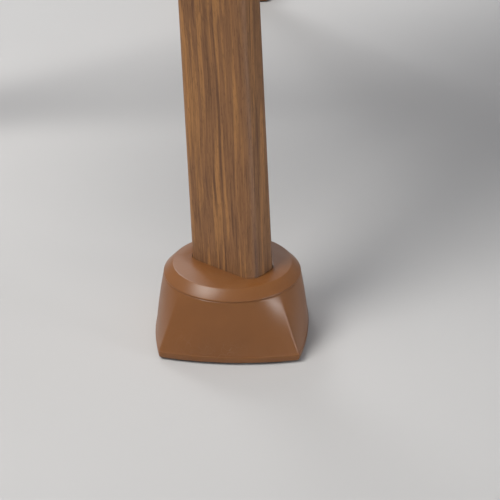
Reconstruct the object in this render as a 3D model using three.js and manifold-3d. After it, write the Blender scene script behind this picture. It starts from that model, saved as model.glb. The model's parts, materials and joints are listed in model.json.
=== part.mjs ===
// A gymnastics pommel horse: a padded leather body with two sliding pommels, on a steel under-frame
// with four telescopic splayed legs, each ending in a square swivelling foot.
// Millimetres, +Z up, +X along the horse. The origin is on the floor, under the middle of the body.
import * as THREE from "three";
import { mergeVertices } from "three/addons/utils/BufferGeometryUtils.js";
import Module from "manifold-3d";

const wasm = await Module();
wasm.setup();

// ---- driving dimensions -------------------------------------------------------------------------

const GAP = 0.3; // between pieces that touch

// Padded body
const BODY_TOP = 1150;
const BODY_BOTTOM = 870;
const BASE_HALF_LENGTH = 775;
const BASE_HALF_WIDTH = 150;
const SIDE_FLARE = 25; // how far each side leans out from bottom to top
const PLAN_RADIUS = 120; // of the four upright corners
const TOP_EDGE_RADIUS = 28;
const BOTTOM_EDGE_RADIUS = 8;
const LEATHER = 3;
const LEATHER_HEM = 22; // width of the leather that turns in under the body

// Timber core
const PLY = 18;
const TOP_FOAM = 22;
const CORE_HALF_LENGTH = 735;
const DECK_HALF_WIDTH = 156;
const DECK_RADIUS = 100; // of its corners
const BOX_HALF_WIDTH = 119;
const BOX_RADIUS = 80;
const END_BLOCK_LENGTH = 88;

// Pommels
const POMMEL_SPACING = 425; // clear distance between the two, mid range
const POMMEL_DIAMETER = 34;
const POMMEL_LENGTH = 310;
const POMMEL_HEIGHT = 120;
const POMMEL_TRAVEL = 12.5; // each way
const BOLT_RADIUS = 6;
const BOLT_REACH = 24; // into the grip
const FLANGE = { length: 70, width: 42, thickness: 9, radius: 20 };
const RAIL = { halfLength: 300, width: 36, height: 24, wall: 4, slot: 14, slotEnd: 2.5 };
const BOLT_HEAD = { size: 24, thickness: 8 };

// Under-frame
const FRAME_DEPTH = 60; // height of the cross heads
const CROSS_HEAD_WIDTH = 100;
const CROSS_HEAD_OVERHANG = 60; // beyond the leg's axis
const CROSS_HEAD_END = 26; // height of its outer ends
const CROSS_HEAD_FLAT = 10; // how far its flat top runs past the body's underside
const DRAIN = { radius: 8, at: 90 }; // holes in its underside
const FRAME_WALL = 5;
const SPINE = { width: 100, height: 50, wall: 3, drop: 5 };
const EYE = { width: 60, depth: 50, thickness: 8, holeRadius: 12, belowHole: 10 };

// Legs, described for the front left corner and mirrored for the others
const FOOT_X = -465;
const FOOT_Y = -392;
const SPLAY_X = 0.193; // lean towards the middle, per unit of height
const SPLAY_Y = 0.225;
const LEG_TUBE = { width: 80, depth: 40, radius: 12.5, wall: 2.5, low: -27, high: 440 }; // along the leg
const UPPER_TUBE = { width: 72, depth: 32, radius: 8.5, wall: 2.5, low: 265 };
const HEAD = { width: 98, depth: 58, radius: 17, low: 400, high: 500 };
const LOCK_AT = 470; // along the leg, of the plunger and the clamp knob
const HOLE_STEP = 50; // of height, between two height settings
const HOLES_ABOVE = 4;
const HOLES_BELOW = 2;
const PLUNGER = { pin: 5, boss: 9, bossLength: 8, cap: 10.5, capLength: 14 };
const KNOB = { radius: 22, lobe: 3, lobes: 5, thickness: 16, stem: 6, standOff: 4 };
const TIP_GAP = 0.5; // from the locks' tips to the upper tube

// Feet
const FOOT_HEIGHT = 73;
const FOOT_TURN = THREE.MathUtils.degToRad(37); // of a foot's outer face, from the X axis
const SOLE = 1.2;
const COLLAR = { radius: 67, topRadius: 58, height: 9, edge: 1, spigot: 56, spigotDepth: 13 };
const COLLAR_SLOT_GAP = 1.2; // round the leg
const BASE_CHORD = 134; // from corner to corner of the square base
const BASE_BOW = 8.5; // how far each side bows out between its corners
const RIM = 7; // the upright band round the base
const RIM_BEVEL = 2;
const RIM_STEP = 0.5; // from the band in to the sloping side
const SIDE_BULGE = 0.8;
const CAVITY = { radius: 57, floorRadius: 50, shoulder: 30, floor: 14 };
const BALL = { radius: 13, neck: 10, seatInner: 14, seatOuter: 20, seatHeight: 8 };

// ---- colours ------------------------------------------------------------------------------------

const finish = (color, roughness, metalness = 0) =>
  new THREE.MeshStandardMaterial({ color, roughness, metalness });
const LOOK = {
  leather: finish(0x9a6238, 0.5),
  foam: finish(0xd9cfa8, 0.95),
  plywood: finish(0xc59d68, 0.8),
  pommel: finish(0xd8b27c, 0.4),
  steel: finish(0xb8bcc0, 0.3, 1),
  painted: finish(0x3b3d40, 0.5, 0.4),
  walnut: finish(0x845f42, 0.45),
  foot: finish(0x7a4f2e, 0.45),
  rubber: finish(0x1c1c1c, 0.9),
  knob: finish(0x1f2023, 0.6),
};

// ---- solids -------------------------------------------------------------------------------------

// Any closed three.js geometry as a solid that can be joined and cut.
function solid(geometry) {
  const bare = (geometry.index ? geometry.toNonIndexed() : geometry).clone();
  bare.deleteAttribute("normal");
  bare.deleteAttribute("uv");
  const merged = mergeVertices(bare, 1e-4);
  return new wasm.Manifold(
    new wasm.Mesh({
      numProp: 3,
      vertProperties: new Float32Array(merged.attributes.position.array),
      triVerts: new Uint32Array(merged.index.array),
    }),
  );
}

function geometryOf(made) {
  const mesh = made.getMesh();
  return new THREE.BufferGeometry()
    .setAttribute("position", new THREE.BufferAttribute(new Float32Array(mesh.vertProperties), 3))
    .setIndex(new THREE.BufferAttribute(new Uint32Array(mesh.triVerts), 1))
    .toNonIndexed();
}

const cut = (first, ...others) => others.reduce((made, other) => made.subtract(other), first);
const join = (first, ...others) => others.reduce((made, other) => made.add(other), first);

function box(x0, x1, y0, y1, z0, z1) {
  const made = new THREE.BoxGeometry(x1 - x0, y1 - y0, z1 - z0);
  return solid(made.translate((x0 + x1) / 2, (y0 + y1) / 2, (z0 + z1) / 2));
}

// A rounded rectangle, as a shape in X and Y.
function roundedRectangle(halfX, halfY, radius) {
  const shape = new THREE.Shape();
  shape.absarc(halfX - radius, halfY - radius, radius, 0, Math.PI / 2);
  shape.absarc(radius - halfX, halfY - radius, radius, Math.PI / 2, Math.PI);
  shape.absarc(radius - halfX, radius - halfY, radius, Math.PI, 1.5 * Math.PI);
  shape.absarc(halfX - radius, radius - halfY, radius, 1.5 * Math.PI, 2 * Math.PI);
  return shape;
}

function extrusion(shape, z0, z1, curveSegments = 2) {
  const made = new THREE.ExtrudeGeometry(shape, { depth: z1 - z0, bevelEnabled: false, curveSegments });
  return made.translate(0, 0, z0);
}

function prism(halfX, halfY, radius, z0, z1) {
  return solid(extrusion(roundedRectangle(halfX, halfY, radius), z0, z1));
}

// A round bar along +Z, from z0 to z1.
function bar(radius, z0, z1, sides = 12) {
  const made = new THREE.CylinderGeometry(radius, radius, z1 - z0, sides);
  return made.rotateX(Math.PI / 2).translate(0, 0, (z0 + z1) / 2);
}

function turned(profile, sides) {
  const made = new THREE.LatheGeometry(profile.map(([r, z]) => new THREE.Vector2(r, z)), sides);
  return solid(made.rotateX(Math.PI / 2));
}

// A closed skin over rings of points, which run anticlockwise seen from above, from the lowest ring up.
function loft(rings) {
  const count = rings[0].length;
  const middle = (ring) => [0, 1, 2].map((k) => ring.reduce((sum, p) => sum + p[k], 0) / count);
  const positions = [];
  const low = middle(rings[0]);
  const high = middle(rings.at(-1));
  for (let i = 0; i < count; i++) {
    const j = (i + 1) % count;
    positions.push(...low, ...rings[0][j], ...rings[0][i]);
    positions.push(...high, ...rings.at(-1)[i], ...rings.at(-1)[j]);
    for (let level = 1; level < rings.length; level++) {
      const below = rings[level - 1];
      const above = rings[level];
      positions.push(...below[i], ...below[j], ...above[j]);
      positions.push(...below[i], ...above[j], ...above[i]);
    }
  }
  const skin = new THREE.BufferGeometry();
  return solid(skin.setAttribute("position", new THREE.Float32BufferAttribute(positions, 3)));
}

// ---- the assembly -------------------------------------------------------------------------------

const horse = new THREE.Group();

function piece(name, made, look, group = horse) {
  const mesh = new THREE.Mesh(made.isBufferGeometry ? made : geometryOf(made), look);
  mesh.name = name;
  group.add(mesh);
  return mesh;
}

// ---- padded body --------------------------------------------------------------------------------

// The outside of the padded body, moved in by inset, with its underside at floor.
function bodyForm(inset, floor) {
  const top = BODY_TOP - inset;
  const flare = SIDE_FLARE / (BODY_TOP - BODY_BOTTOM);
  const edge = TOP_EDGE_RADIUS - inset;
  const lowEdge = BOTTOM_EDGE_RADIUS - 0.6 * inset;
  const levels = [
    [floor, lowEdge],
    [floor + lowEdge, 0],
  ];
  const steps = 4;
  for (let i = 0; i <= steps; i++) {
    const turn = (i / steps) * (Math.PI / 2);
    levels.push([top - edge + edge * Math.sin(turn), edge * (1 - Math.cos(turn))]);
  }
  const rings = levels.map(([z, draw]) => {
    const out = flare * (z - BODY_BOTTOM) - draw - inset;
    const corner = PLAN_RADIUS - draw - inset;
    const shape = roundedRectangle(BASE_HALF_LENGTH + out, BASE_HALF_WIDTH + out, corner);
    return shape
      .getPoints(4)
      .slice(0, -1)
      .map((p) => [p.x, p.y, z]);
  });
  return loft(rings);
}

const POMMEL_X = (POMMEL_SPACING + POMMEL_DIAMETER) / 2;
const BOLT_Y = (POMMEL_LENGTH - POMMEL_DIAMETER) / 2;
const deckTop = BODY_TOP - LEATHER - TOP_FOAM - 2 * GAP;
const deckBottom = deckTop - PLY;
const railTop = deckBottom - GAP;
const railBottom = railTop - RAIL.height;
const boardBottom = BODY_BOTTOM + LEATHER + 2 * GAP;
const boardTop = boardBottom + PLY;

// The slots that the pommel bolts slide in, through everything between the rails and the top.
function boltSlots() {
  const halfLength = POMMEL_TRAVEL + BOLT_RADIUS + RAIL.slotEnd;
  const halfWidth = RAIL.slot / 2;
  const slots = [-1, 1].flatMap((sx) =>
    [-1, 1].map((sy) => {
      const shape = roundedRectangle(halfLength, halfWidth, halfWidth - 0.01);
      const slot = extrusion(shape, railBottom, BODY_TOP + 10);
      return solid(slot.translate(sx * POMMEL_X, sy * BOLT_Y, 0));
    }),
  );
  return join(...slots);
}

const slots = boltSlots();
const hem = LEATHER_HEM;
const hemOpening = prism(
  BASE_HALF_LENGTH - hem,
  BASE_HALF_WIDTH - hem,
  PLAN_RADIUS - hem,
  BODY_BOTTOM - 5,
  BODY_BOTTOM + LEATHER + 5,
);
const spaceLength = CORE_HALF_LENGTH + GAP;
const coreSpace = join(
  prism(spaceLength, DECK_HALF_WIDTH + GAP, DECK_RADIUS, railBottom - GAP, deckTop + GAP),
  prism(spaceLength, BOX_HALF_WIDTH + GAP, BOX_RADIUS, BODY_BOTTOM - 5, railBottom + 5),
);
const hide = cut(bodyForm(0, BODY_BOTTOM), bodyForm(LEATHER, BODY_BOTTOM + LEATHER), hemOpening, slots);
const padding = cut(bodyForm(LEATHER + GAP, BODY_BOTTOM + LEATHER + GAP), coreSpace, slots);
const deck = cut(prism(CORE_HALF_LENGTH, DECK_HALF_WIDTH, DECK_RADIUS, deckBottom, deckTop), slots);
const board = prism(CORE_HALF_LENGTH, BOX_HALF_WIDTH, BOX_RADIUS, boardBottom, boardTop);

piece("leather_cover", hide, LOOK.leather);
piece("foam_padding", padding, LOOK.foam);
piece("top_deck", deck, LOOK.plywood);
piece("bottom_board", board, LOOK.plywood);

// A steel channel with a slot along its top, which holds the heads of the pommel bolts.
function railSolid() {
  const { halfLength, width, wall, slot } = RAIL;
  const floor = railBottom + wall;
  return cut(
    box(-halfLength, halfLength, -width / 2, width / 2, railBottom, railTop),
    box(-halfLength - 1, halfLength + 1, wall - width / 2, width / 2 - wall, floor, railTop - wall),
    box(-halfLength - 1, halfLength + 1, -slot / 2, slot / 2, floor, railTop + 1),
  );
}

const boxLow = boardTop + GAP;
const boxHigh = deckBottom - GAP;
const blockInner = CORE_HALF_LENGTH - END_BLOCK_LENGTH;
const rail = geometryOf(railSolid());
for (const [side, sy] of [["front", -1], ["back", 1]]) {
  const sideBoard = new THREE.BoxGeometry(2 * (blockInner - GAP), PLY, boxHigh - boxLow);
  const mesh = piece(`side_board_${side}`, sideBoard, LOOK.plywood);
  mesh.position.set(0, sy * (BOX_HALF_WIDTH - PLY / 2), (boxLow + boxHigh) / 2);
  piece(`pommel_rail_${side}`, rail, LOOK.steel).position.y = sy * BOLT_Y;
}
const blockForm = prism(CORE_HALF_LENGTH, BOX_HALF_WIDTH, BOX_RADIUS, boxLow, boxHigh);
const otherThanBlock = box(-CORE_HALF_LENGTH - 1, blockInner, -200, 200, boxLow - 1, boxHigh + 1);
const block = geometryOf(cut(blockForm, otherThanBlock));
for (const [side, sx] of [["left", -1], ["right", 1]]) {
  piece(`end_block_${side}`, block, LOOK.plywood).scale.x = sx;
}

// ---- pommels ------------------------------------------------------------------------------------

// One arched grip, centred on X, with a blind hole for a bolt in each end.
function gripSolid() {
  const radius = POMMEL_DIAMETER / 2;
  const crest = BODY_TOP + POMMEL_HEIGHT - radius;
  const start = BODY_TOP + GAP + FLANGE.thickness + GAP;
  const half = [
    [BOLT_Y + 1, start - 8],
    [BOLT_Y - 2, start + 18],
    [BOLT_Y - 8, crest - 50],
    [BOLT_Y - 22, crest - 20],
    [BOLT_Y - 50, crest - 3],
    [BOLT_Y - 90, crest],
  ];
  const mirrored = half.map(([y, z]) => [-y, z]).reverse();
  const route = [...half, [0, crest], ...mirrored].map(([y, z]) => new THREE.Vector3(0, y, z));
  const section = new THREE.Shape().absarc(0, 0, radius, 0, 2 * Math.PI);
  const arch = new THREE.ExtrudeGeometry(section, {
    steps: 26,
    curveSegments: 6,
    extrudePath: new THREE.CatmullRomCurve3(route, false, "centripetal"),
  });
  const sockets = [-1, 1].map((sy) => {
    const hole = bar(BOLT_RADIUS + GAP, start - 1, start + BOLT_REACH + 2);
    return solid(hole.translate(0, sy * BOLT_Y, 0));
  });
  return cut(solid(arch), box(-50, 50, -250, 250, start - 60, start), ...sockets);
}

function flangeSolid() {
  const low = BODY_TOP + GAP;
  return cut(
    prism(FLANGE.length / 2, FLANGE.width / 2, FLANGE.radius, low, low + FLANGE.thickness),
    solid(bar(BOLT_RADIUS + GAP, low - 1, low + FLANGE.thickness + 1)),
  );
}

// A tee bolt: its square head runs in a rail, and its shank goes up into the grip.
function boltSolid() {
  const half = BOLT_HEAD.size / 2;
  const head = railBottom + RAIL.wall + 4;
  const top = BODY_TOP + FLANGE.thickness + 2 * GAP + BOLT_REACH;
  const square = box(-half, half, -half, half, head, head + BOLT_HEAD.thickness);
  return join(square, solid(bar(BOLT_RADIUS, head + 2, top)));
}

const grip = geometryOf(gripSolid());
const flange = geometryOf(flangeSolid());
const bolt = geometryOf(boltSolid());
for (const [side, sx] of [["left", -1], ["right", 1]]) {
  const pommel = new THREE.Group();
  pommel.position.x = sx * POMMEL_X;
  horse.add(pommel);
  piece(`pommel_grip_${side}`, grip, LOOK.pommel, pommel);
  for (const [end, sy] of [["front", -1], ["back", 1]]) {
    piece(`pommel_flange_${side}_${end}`, flange, LOOK.painted, pommel).position.y = sy * BOLT_Y;
    piece(`pommel_bolt_${side}_${end}`, bolt, LOOK.steel, pommel).position.y = sy * BOLT_Y;
  }
}

// ---- under-frame --------------------------------------------------------------------------------

const frameTop = BODY_BOTTOM - GAP;
const frameBottom = frameTop - FRAME_DEPTH;
const rise = frameBottom - FOOT_HEIGHT; // from the top of the foot to the under-frame
const LEG_TOP_X = FOOT_X + SPLAY_X * rise;
const LEG_TOP_Y = FOOT_Y + SPLAY_Y * rise;

// The outline of a cross head seen from the end of the horse, extruded along X and moved in by inset.
function crossHeadForm(inset, halfWidth) {
  const reach = -LEG_TOP_Y + CROSS_HEAD_OVERHANG - inset;
  const flat = BASE_HALF_WIDTH + CROSS_HEAD_FLAT;
  const shoulder = frameBottom + CROSS_HEAD_END;
  const shape = new THREE.Shape([
    new THREE.Vector2(-reach, frameBottom + inset),
    new THREE.Vector2(reach, frameBottom + inset),
    new THREE.Vector2(reach, shoulder - inset / 2),
    new THREE.Vector2(flat, frameTop - inset),
    new THREE.Vector2(-flat, frameTop - inset),
    new THREE.Vector2(-reach, shoulder - inset / 2),
  ]);
  const made = new THREE.ExtrudeGeometry(shape, { depth: 2 * halfWidth, bevelEnabled: false });
  return solid(made.translate(0, 0, -halfWidth).rotateX(Math.PI / 2).rotateZ(Math.PI / 2));
}

function crossHeadSolid() {
  const half = CROSS_HEAD_WIDTH / 2;
  const drains = [-1, 1].map((sy) => {
    const hole = bar(DRAIN.radius, frameBottom - 1, frameBottom + FRAME_WALL + 1);
    return solid(hole.translate(0, sy * DRAIN.at, 0));
  });
  return cut(crossHeadForm(0, half), crossHeadForm(FRAME_WALL, half - FRAME_WALL), ...drains);
}

const crossHead = geometryOf(crossHeadSolid());
piece("cross_head_left", crossHead, LOOK.painted).position.x = LEG_TOP_X;
piece("cross_head_right", crossHead, LOOK.painted).position.x = -LEG_TOP_X;

const spineEnd = -LEG_TOP_X - CROSS_HEAD_WIDTH / 2 - GAP;
const spineHigh = frameTop - SPINE.drop;
const spineLow = spineHigh - SPINE.height;

function spineSolid() {
  const outside = SPINE.width / 2;
  const inside = outside - SPINE.wall;
  return cut(
    box(-spineEnd, spineEnd, -outside, outside, spineLow, spineHigh),
    box(-spineEnd - 1, spineEnd + 1, -inside, inside, spineLow + SPINE.wall, spineHigh - SPINE.wall),
  );
}

piece("spine_beam", spineSolid(), LOOK.painted);

// The plate that a floor tensioner hooks into, under the middle of the spine.
function eyeSolid() {
  const top = spineLow - GAP;
  const low = top - EYE.depth;
  const hole = bar(EYE.holeRadius, -EYE.thickness, EYE.thickness, 20).rotateX(Math.PI / 2);
  return cut(
    box(-EYE.width / 2, EYE.width / 2, -EYE.thickness / 2, EYE.thickness / 2, low, top),
    solid(hole.translate(0, 0, low + EYE.holeRadius + EYE.belowHole)),
  );
}

piece("tensioner_eye", eyeSolid(), LOOK.painted);

// ---- legs ---------------------------------------------------------------------------------------

// A leg's own axes: its origin is in the middle of the foot's top, and its Z runs up the leg.
const upLeg = new THREE.Vector3(SPLAY_X, SPLAY_Y, 1).normalize();
const acrossLeg = new THREE.Vector3(0, 1, 0).addScaledVector(upLeg, -upLeg.y).normalize();
const throughLeg = new THREE.Vector3().crossVectors(acrossLeg, upLeg);
const legFrame = new THREE.Matrix4()
  .makeBasis(throughLeg, acrossLeg, upLeg)
  .setPosition(FOOT_X, FOOT_Y, FOOT_HEIGHT);
const footFrame = new THREE.Matrix4().makeTranslation(FOOT_X, FOOT_Y, 0);
const stretch = 1 / upLeg.z; // length along the leg for one of height

// A prism with the section of one of the leg's tubes, grown by extra all round, in the leg's own axes.
function along({ width, depth, radius }, extra, low, high) {
  return prism(depth / 2 + extra, width / 2 + extra, radius + extra, low, high);
}

const inPlace = (made) => solid(geometryOf(made).applyMatrix4(legFrame));

// Turns a piece that stands along +Z to point along the leg's -X, or its -Y, at a height along the leg.
const pointing = (geometry, at) => solid(geometry.rotateY(-Math.PI / 2).translate(0, 0, at));
const sideways = (geometry, at) => solid(geometry.rotateX(Math.PI / 2).translate(0, 0, at));

// The fixed tube, welded under a cross head and drilled for the height settings.
function upperTubeSolid() {
  const high = rise * stretch + 30;
  const wall = UPPER_TUBE.wall;
  const holes = [];
  for (let n = -HOLES_BELOW; n <= HOLES_ABOVE; n++) {
    const at = LOCK_AT + n * HOLE_STEP * stretch;
    holes.push(pointing(bar(PLUNGER.pin + 0.5, 5, UPPER_TUBE.depth, 10), at));
  }
  const outside = along(UPPER_TUBE, 0, UPPER_TUBE.low, high);
  const inside = along(UPPER_TUBE, -wall, UPPER_TUBE.low - 1, high + 1);
  const aboveFrame = box(-700, 0, -600, 200, frameBottom - GAP, frameBottom + 100);
  return cut(inPlace(cut(outside, inside, ...holes)), aboveFrame);
}

function legTubeSolid() {
  const { low, high, wall } = LEG_TUBE;
  return inPlace(cut(along(LEG_TUBE, 0, low, high), along(LEG_TUBE, -wall, low - 1, high + 1)));
}

// The cast head on top of the leg tube, which guides the upper tube and holds both locks.
function headSolid() {
  const face = HEAD.depth / 2;
  const side = HEAD.width / 2;
  const boss = pointing(bar(PLUNGER.boss, face - 3, face + PLUNGER.bossLength, 16), LOCK_AT);
  return inPlace(
    cut(
      join(along(HEAD, 0, HEAD.low, HEAD.high), boss),
      along(LEG_TUBE, GAP, HEAD.low - 1, LEG_TUBE.high + GAP),
      along(UPPER_TUBE, 0.4, LEG_TUBE.high - 5, HEAD.high + 1),
      pointing(bar(PLUNGER.pin + 0.4, 0, face + PLUNGER.bossLength + 1), LOCK_AT),
      sideways(bar(KNOB.stem + 0.4, 0, side + 1), LOCK_AT),
    ),
  );
}

// The pull plunger that drops into the height holes, drawn with its nose just clear of the tube.
function plungerSolid() {
  const nose = UPPER_TUBE.depth / 2 + TIP_GAP;
  const cap = HEAD.depth / 2 + PLUNGER.bossLength + 1;
  return inPlace(
    join(
      pointing(bar(PLUNGER.pin, nose, cap + 2), LOCK_AT),
      pointing(bar(PLUNGER.cap, cap, cap + PLUNGER.capLength, 16), LOCK_AT),
    ),
  );
}

// The lobed knob whose screw takes the play out of the leg.
function knobSolid() {
  const tip = UPPER_TUBE.width / 2 + TIP_GAP;
  const face = HEAD.width / 2 + KNOB.standOff;
  const points = [];
  for (let i = 0; i < 30; i++) {
    const turn = (i / 30) * 2 * Math.PI;
    const radius = KNOB.radius + KNOB.lobe * Math.cos(KNOB.lobes * turn);
    points.push(new THREE.Vector2(radius * Math.cos(turn), radius * Math.sin(turn)));
  }
  const grip = extrusion(new THREE.Shape(points), face, face + KNOB.thickness);
  return inPlace(join(sideways(bar(KNOB.stem, tip, face + 2), LOCK_AT), sideways(grip, LOCK_AT)));
}

// ---- feet ---------------------------------------------------------------------------------------

const collarLow = FOOT_HEIGHT - COLLAR.height; // where the collar's chamfer starts
const shellTop = collarLow - COLLAR.edge - GAP;

// Distance from the middle of the base to its outline, at an angle from the foot's outer face.
// Each side is a shallow arc, and the corners are rounded by blending the two nearest sides.
function baseRadius(angle, sharpness) {
  const halfChord = BASE_CHORD / 2;
  const arc = (halfChord ** 2 + BASE_BOW ** 2) / (2 * BASE_BOW);
  const back = arc - halfChord - BASE_BOW;
  let sum = 0;
  for (let side = 0; side < 4; side++) {
    const off = angle - (side * Math.PI) / 2;
    if (Math.cos(off) < 0.2) continue;
    const reach = Math.sqrt(arc ** 2 - (back * Math.sin(off)) ** 2) - back * Math.cos(off);
    sum += Math.exp(-sharpness * reach);
  }
  return -Math.log(sum) / sharpness;
}

// One level of the foot's outside: share 0 is the square base, and share 1 the round top.
function footRing(z, share, inset) {
  const count = 40;
  const sharpness = 0.35 - 0.2 * share;
  const bulge = SIDE_BULGE * 4 * share * (1 - share);
  return Array.from({ length: count }, (_, i) => {
    const angle = (i / count) * 2 * Math.PI;
    const square = baseRadius(angle, sharpness);
    const radius = square + (COLLAR.radius - square) * share + bulge * Math.cos(2 * angle) ** 2 - inset;
    const turn = angle + FOOT_TURN;
    return [-radius * Math.cos(turn), -radius * Math.sin(turn), z];
  });
}

function shellSolid() {
  const rings = [
    footRing(SOLE + GAP, 0, RIM_BEVEL),
    footRing(SOLE + GAP + RIM_BEVEL, 0, 0),
    footRing(SOLE + RIM, 0, RIM_STEP),
  ];
  const steps = 4;
  for (let i = 1; i <= steps; i++) {
    const share = i / steps;
    rings.push(footRing(SOLE + RIM + (shellTop - SOLE - RIM) * share, share, 0));
  }
  const { radius, floorRadius, shoulder, floor } = CAVITY;
  const hollow = turned(
    [
      [0, floor],
      [BALL.seatInner, floor],
      [BALL.seatInner, floor + BALL.seatHeight],
      [BALL.seatOuter, floor + BALL.seatHeight],
      [BALL.seatOuter, floor],
      [floorRadius, floor],
      [radius, shoulder],
      [radius, FOOT_HEIGHT],
      [0, FOOT_HEIGHT],
    ],
    28,
  );
  return cut(loft(rings), hollow);
}

// The round collar that closes the foot and follows the leg, while the shell turns under it.
function collarSolid() {
  const profile = [
    [0, shellTop - COLLAR.spigotDepth],
    [COLLAR.spigot, shellTop - COLLAR.spigotDepth],
    [COLLAR.spigot, shellTop + GAP],
    [COLLAR.radius, shellTop + GAP],
    [COLLAR.radius, collarLow],
    [COLLAR.topRadius, FOOT_HEIGHT],
    [0, FOOT_HEIGHT],
  ];
  const disc = solid(geometryOf(turned(profile, 48)).applyMatrix4(footFrame));
  return cut(disc, inPlace(along(LEG_TUBE, COLLAR_SLOT_GAP, -60, 60)));
}

// The steel block in the end of the leg tube, with the ball that the foot turns on.
function plugSolid() {
  const block = inPlace(along(LEG_TUBE, -LEG_TUBE.wall - GAP, LEG_TUBE.low, 30));
  const centre = CAVITY.floor + 0.5 + BALL.radius;
  const ball = new THREE.SphereGeometry(BALL.radius, 16, 10).rotateX(Math.PI / 2).translate(0, 0, centre);
  const stem = join(solid(ball), solid(bar(BALL.neck, centre, FOOT_HEIGHT - 20, 16)));
  return join(block, solid(geometryOf(stem).applyMatrix4(footFrame)));
}

const soleSolid = () => loft([footRing(0, 0, 4), footRing(SOLE, 0, 3)]);

// ---- four corners -------------------------------------------------------------------------------

const legPieces = {
  upper_tube: [upperTubeSolid(), LOOK.steel],
  leg_tube: [legTubeSolid(), LOOK.walnut],
  leg_head: [headSolid(), LOOK.painted],
  lock_plunger: [plungerSolid(), LOOK.steel],
  clamp_knob: [knobSolid(), LOOK.knob],
  leg_plug: [plugSolid(), LOOK.steel],
  foot_collar: [collarSolid(), LOOK.foot],
};
const footPieces = {
  foot_shell: [shellSolid(), LOOK.foot],
  foot_sole: [soleSolid(), LOOK.rubber],
};
for (const pieces of [legPieces, footPieces]) {
  for (const name in pieces) pieces[name][0] = geometryOf(pieces[name][0]);
}

for (const [corner, sx, sy] of [
  ["front_left", 1, 1],
  ["front_right", -1, 1],
  ["back_left", 1, -1],
  ["back_right", -1, -1],
]) {
  const leg = new THREE.Group();
  leg.scale.set(sx, sy, 1);
  horse.add(leg);
  const foot = new THREE.Group();
  foot.position.set(FOOT_X, FOOT_Y, 0);
  leg.add(foot);
  for (const name in legPieces) piece(`${name}_${corner}`, ...legPieces[name], leg);
  for (const name in footPieces) piece(`${name}_${corner}`, ...footPieces[name], foot);
}

export default horse;
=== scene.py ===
import math
from contextlib import contextmanager

import bmesh
import bpy
from mathutils import Matrix, Vector
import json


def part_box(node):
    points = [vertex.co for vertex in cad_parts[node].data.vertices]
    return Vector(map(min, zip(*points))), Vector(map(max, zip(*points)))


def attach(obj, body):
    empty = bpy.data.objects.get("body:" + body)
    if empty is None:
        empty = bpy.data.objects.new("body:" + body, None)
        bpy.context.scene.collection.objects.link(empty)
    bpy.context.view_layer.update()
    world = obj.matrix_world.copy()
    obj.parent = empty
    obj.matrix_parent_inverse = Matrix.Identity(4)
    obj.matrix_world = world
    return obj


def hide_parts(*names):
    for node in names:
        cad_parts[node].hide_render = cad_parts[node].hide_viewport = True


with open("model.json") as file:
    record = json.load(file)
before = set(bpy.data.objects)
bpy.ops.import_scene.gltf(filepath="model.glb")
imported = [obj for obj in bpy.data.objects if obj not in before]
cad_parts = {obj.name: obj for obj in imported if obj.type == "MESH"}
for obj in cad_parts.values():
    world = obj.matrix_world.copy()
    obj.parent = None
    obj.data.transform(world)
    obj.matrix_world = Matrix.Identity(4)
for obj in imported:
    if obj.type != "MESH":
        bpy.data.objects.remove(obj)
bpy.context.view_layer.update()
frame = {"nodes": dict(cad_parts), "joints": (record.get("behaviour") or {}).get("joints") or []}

# The horse stands on the floor at Z = 0, with X along its body and Y across it. All sizes are in metres.
# What every leg has is modelled once, in the axes of the front left leg, and copied to the four corners.
CORNERS = {"front_left": (1, 1), "front_right": (-1, 1), "back_left": (1, -1), "back_right": (-1, -1)}
SIDES = ("left", "right")
ENDS = ("front", "back")


# ---- places taken from the frame ----

def middle(name):
    low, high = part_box(name)
    return (low + high) / 2


def joint_axis(name):
    return Vector(next(joint["axis"] for joint in frame["joints"] if joint["name"] == name))


def turn_to(x, y, z):
    """The turn that brings the three axes onto three directions."""
    return Matrix((x, y, z)).transposed().to_4x4()


collar_low, collar_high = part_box("foot_collar_front_left")
FOOT_TOP = collar_high.z
COLLAR_RADIUS = (collar_high.x - collar_low.x) / 2
FOOT = middle("foot_collar_front_left")
FOOT.z = 0
ANKLE = FOOT + Vector((0, 0, FOOT_TOP))  # the middle of the foot's top

LEG_UP = -joint_axis("leg_extend_front_left")
LEG_ACROSS = (Vector((0, 1, 0)) - LEG_UP * LEG_UP.y).normalized()
LEG_THROUGH = LEG_ACROSS.cross(LEG_UP)
LEG_PLACE = Matrix.Translation(ANKLE) @ turn_to(LEG_THROUGH, LEG_ACROSS, LEG_UP)
FOOT_TURN = math.radians(37)
FOOT_PLACE = Matrix.Translation(FOOT) @ Matrix.Rotation(math.pi + FOOT_TURN, 4, "Z")


# ---- camera and light ----

def placed(name, data):
    """A new object in the scene."""
    made = bpy.data.objects.new(name, data)
    bpy.context.scene.collection.objects.link(made)
    return made


def aim_camera():
    """Looks down at the front left foot from just outside the corner."""
    azimuth, elevation = math.radians(-50.6), math.radians(26.6)
    distance, lens, sensor = 1.3, 96.2, 36
    # where the foot's top lies from the middle of the view, as shares of the view's width
    aside, below = -0.0354, 0.021
    outwards = Vector((math.sin(azimuth), -math.cos(azimuth), 0))
    back = outwards * math.cos(elevation) + Vector((0, 0, math.sin(elevation)))
    right = Vector((math.cos(azimuth), math.sin(azimuth), 0))
    above = back.cross(right)
    view_width = sensor / lens * distance
    place = ANKLE + back * distance + (above * below - right * aside) * view_width
    settings = bpy.data.cameras.new("camera")
    settings.lens = lens
    settings.clip_start = 0.02
    camera = placed("camera", settings)
    camera.matrix_world = Matrix.Translation(place) @ turn_to(right, above, back)
    bpy.context.scene.camera = camera


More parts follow.
